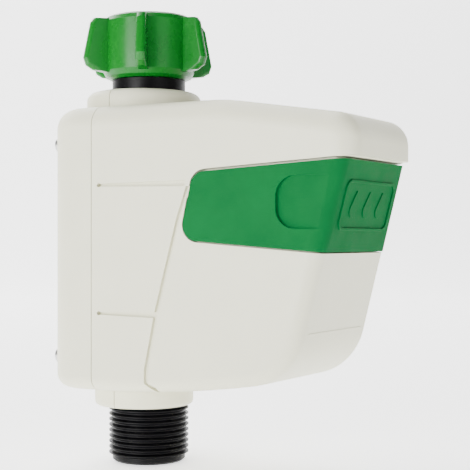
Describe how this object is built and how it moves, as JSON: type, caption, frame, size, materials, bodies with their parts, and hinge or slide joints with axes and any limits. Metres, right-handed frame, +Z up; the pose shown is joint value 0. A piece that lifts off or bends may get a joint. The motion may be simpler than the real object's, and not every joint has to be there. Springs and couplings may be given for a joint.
{
  "type": "drip irrigation timer",
  "caption": "Battery water timer that hangs from a garden tap: winged swivel inlet nut, wedge-shaped cream case with a green pull-out battery cap, and a threaded outlet for drip line below.",
  "frame": {"origin": "on the water axis, at the upper face of the inlet washer, where the tap's end seats", "axes": "+Z up along the water axis towards the tap, -Y to the front with the battery cap, X across, with X = 0 the mid plane"},
  "size_m": [0.0574, 0.1084, 0.1467],
  "materials": {
    "cream_plastic": "fine satin moulding",
    "green_gloss": "smooth gloss moulding",
    "green_grain": "fine spark-eroded grain",
    "black_nylon": "satin glass-filled nylon",
    "soft_seal": "matt rubber",
    "grey_plastic": "plain moulding",
    "screen_plastic": "plain moulding",
    "zinc_steel": "zinc plated",
    "bare_iron": "turned",
    "nickel": "bright nickel",
    "copper_wire": "enamelled copper",
    "battery_case": "printed steel jacket, left plain",
    "board_green": "solder mask",
    "chip_black": "moulded epoxy",
    "shield_metal": "tinned can",
    "red_wire": "wire insulation"
  },
  "bodies": {
    "housing": {"rear_shell": "cream_plastic", "shell_gasket": "soft_seal", "main_shell": "cream_plastic", "front_cover": "cream_plastic", "shell_screws": "zinc_steel", "battery_sleeve": "grey_plastic", "contact_plate": "grey_plastic", "contact_springs": "nickel", "inlet_washer": "soft_seal", "inlet_spigot": "black_nylon", "spigot_clip": "zinc_steel", "filter_screen": "screen_plastic", "spigot_seal": "soft_seal", "valve_body": "black_nylon", "diaphragm": "soft_seal", "bonnet": "black_nylon", "bonnet_screws": "zinc_steel", "solenoid_guide": "black_nylon", "core_stop": "bare_iron", "solenoid_bobbin": "grey_plastic", "coil_winding": "copper_wire", "solenoid_magnet": "bare_iron", "solenoid_yoke": "zinc_steel", "poppet_spring": "zinc_steel", "plunger_spring": "zinc_steel", "circuit_board": "board_green", "board_screws": "zinc_steel", "controller_chip": "chip_black", "radio_module": "shield_metal", "clock_crystal": "shield_metal", "pulse_capacitor": "shield_metal", "battery_leads": "red_wire", "solenoid_leads": "red_wire"},
    "nut": {"inlet_nut": "green_gloss"},
    "drawer": {"battery_cap": "green_grain", "battery_tray": "grey_plastic", "battery_seal": "soft_seal", "battery": "battery_case", "battery_terminals": "nickel"},
    "poppet": {"poppet": "grey_plastic"},
    "plunger": {"plunger": "bare_iron", "plunger_seal": "soft_seal"}
  },
  "joints": [
    {"name": "nut_spin", "type": "hinge", "parent": "housing", "child": "nut", "pos_m": [0, 0, 0], "axis": [0, 0, 1], "continuous": true},
    {"name": "drawer_slide", "type": "slide", "parent": "housing", "child": "drawer", "axis": [0, -1, 0], "range_m": [0, 0.06]},
    {"name": "poppet_lift", "type": "slide", "parent": "housing", "child": "poppet", "axis": [0, -1, 0], "range_m": [0, 0.002], "stiffness_N_per_m": 300, "springref_m": -0.001, "deforming": ["poppet_spring", "diaphragm"]},
    {"name": "plunger_lift", "type": "slide", "parent": "housing", "child": "plunger", "axis": [0, -1, 0], "range_m": [0, 0.0016], "stiffness_N_per_m": 200, "springref_m": -0.001, "deforming": ["plunger_spring"]}
  ]
}
